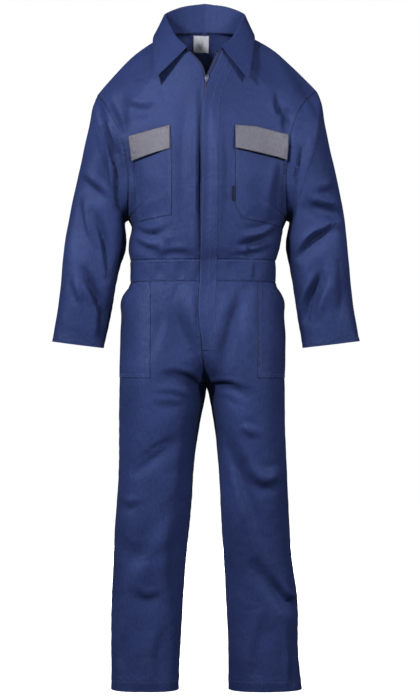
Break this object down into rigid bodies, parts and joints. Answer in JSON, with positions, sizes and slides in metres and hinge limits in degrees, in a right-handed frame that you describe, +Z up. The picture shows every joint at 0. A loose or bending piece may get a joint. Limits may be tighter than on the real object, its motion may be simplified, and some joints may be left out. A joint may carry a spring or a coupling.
{
  "type": "boiler suit",
  "caption": "Hollow one-piece work garment with turned-down collar, long sleeves, covered front zip, flapped chest pockets, waistband and straight legs, filled out as if worn.",
  "frame": {"origin": "midway between the two points where neckline and shoulder seam meet, level with them", "axes": "+Z up the body, -Y towards the garment's front, +X towards the wearer's left"},
  "size_m": [0.7396, 0.2899, 1.6697],
  "materials": {
    "navy_twill": "matte twill",
    "grey_twill": "matte twill",
    "white_label": "matte woven label",
    "zip_tape": "matte woven tape",
    "zip_metal": "satin"
  },
  "bodies": {
    "garment": {"back": "navy_twill", "chest_pocket_left": "navy_twill", "chest_pocket_right": "navy_twill", "collar": "navy_twill", "fly": "navy_twill", "front_left": "navy_twill", "front_right": "navy_twill", "hip_pocket_left": "navy_twill", "hip_pocket_right": "navy_twill", "neck_label": "white_label", "pocket_flap_left": "grey_twill", "pocket_flap_right": "grey_twill", "pocket_tab": "navy_twill", "sleeve_left": "navy_twill", "sleeve_right": "navy_twill", "trouser_back_left": "navy_twill", "trouser_back_right": "navy_twill", "trouser_front_left": "navy_twill", "trouser_front_right": "navy_twill", "waistband_back": "navy_twill", "waistband_front_left": "navy_twill", "waistband_front_right": "navy_twill", "zip_slider": "zip_metal", "zip_tape_left": "zip_tape", "zip_tape_right": "zip_tape"},
    "zip_pull": {"zip_pull": "zip_metal"}
  },
  "joints": [
    {"name": "pull_swing", "type": "hinge", "parent": "garment", "child": "zip_pull", "pos_m": [0.005, -0.1145, -0.1185], "axis": [-1, 0, 0], "range_deg": [0, 150]}
  ]
}
